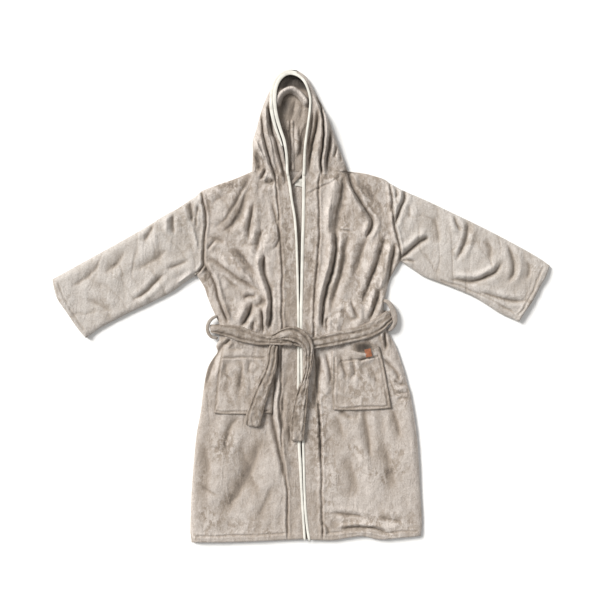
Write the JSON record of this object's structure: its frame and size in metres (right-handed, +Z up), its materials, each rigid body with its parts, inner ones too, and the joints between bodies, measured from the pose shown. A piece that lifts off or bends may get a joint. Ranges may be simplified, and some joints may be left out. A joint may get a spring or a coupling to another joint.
{
  "type": "bathrobe",
  "caption": "Hooded fleece bathrobe laid flat, with a tied belt, patch pockets, belt loops and light edge piping; sleeves, hood and belt ends fold.",
  "frame": {"origin": "on the floor under the middle of the robe's bounding box, as it lies flat with its front up", "axes": "+X across the robe towards the wearer's left sleeve, +Y from the hem to the hood, +Z up from the floor out of the robe's front"},
  "size_m": [1.6, 1.515, 0.045],
  "materials": {
    "fleece": "short plush fleece with a mottled nap",
    "ivory_trim": "smooth ivory piping",
    "belt_fleece": "short plush fleece, rolled or folded into straps",
    "thread": "matt sewing thread",
    "label": "blank woven satin label",
    "leather": "blank red-brown leather, fine grain"
  },
  "bodies": {
    "robe": {"back_panel": "fleece", "right_front_panel": "fleece", "left_front_panel": "fleece", "right_front_band": "fleece", "left_front_band": "fleece", "right_front_piping": "ivory_trim", "left_front_piping": "ivory_trim", "right_pocket": "fleece", "left_pocket": "fleece", "leather_tab": "leather", "hanger_loop": "belt_fleece", "neck_label": "label", "belt_wrap": "belt_fleece", "belt_knot": "belt_fleece", "hem_stitching": "thread", "right_pocket_stitching": "thread", "left_pocket_stitching": "thread"},
    "right_sleeve": {"right_sleeve": "fleece", "right_cuff_stitching": "thread"},
    "left_sleeve": {"left_sleeve": "fleece", "left_cuff_stitching": "thread"},
    "hood": {"hood_right_panel": "fleece", "hood_left_panel": "fleece", "hood_piping": "ivory_trim"},
    "right_belt_end": {"belt_right_tail": "belt_fleece"},
    "left_belt_end": {"belt_left_tail": "belt_fleece"},
    "right_loop": {"right_belt_loop": "belt_fleece"},
    "left_loop": {"left_belt_loop": "belt_fleece"}
  },
  "joints": [
    {"name": "right_sleeve_fold", "type": "hinge", "parent": "robe", "child": "right_sleeve", "pos_m": [-0.3145, 0.24, 0.018], "axis": [0, 1, 0], "range_deg": [0, 110]},
    {"name": "left_sleeve_fold", "type": "hinge", "parent": "robe", "child": "left_sleeve", "pos_m": [0.302, 0.269, 0.018], "axis": [0.1309, -0.9914, 0], "range_deg": [0, 110]},
    {"name": "hood_fold", "type": "hinge", "parent": "robe", "child": "hood", "pos_m": [0, 0.4335, 0.018], "axis": [1, 0, 0], "range_deg": [0, 150]},
    {"name": "right_belt_end_lift", "type": "hinge", "parent": "robe", "child": "right_belt_end", "pos_m": [-0.09, -0.137, 0.046], "axis": [-1, 0, 0], "range_deg": [0, 170]},
    {"name": "left_belt_end_lift", "type": "hinge", "parent": "robe", "child": "left_belt_end", "pos_m": [0.024, -0.137, 0.046], "axis": [-1, 0, 0], "range_deg": [0, 170]},
    {"name": "right_loop_swing", "type": "hinge", "parent": "robe", "child": "right_loop", "pos_m": [-0.279, -0.068, 0.018], "axis": [0, 1, 0], "range_deg": [0, 80]},
    {"name": "left_loop_swing", "type": "hinge", "parent": "robe", "child": "left_loop", "pos_m": [0.2795, -0.032, 0.018], "axis": [0.083, -0.9965, 0], "range_deg": [0, 80]}
  ]
}
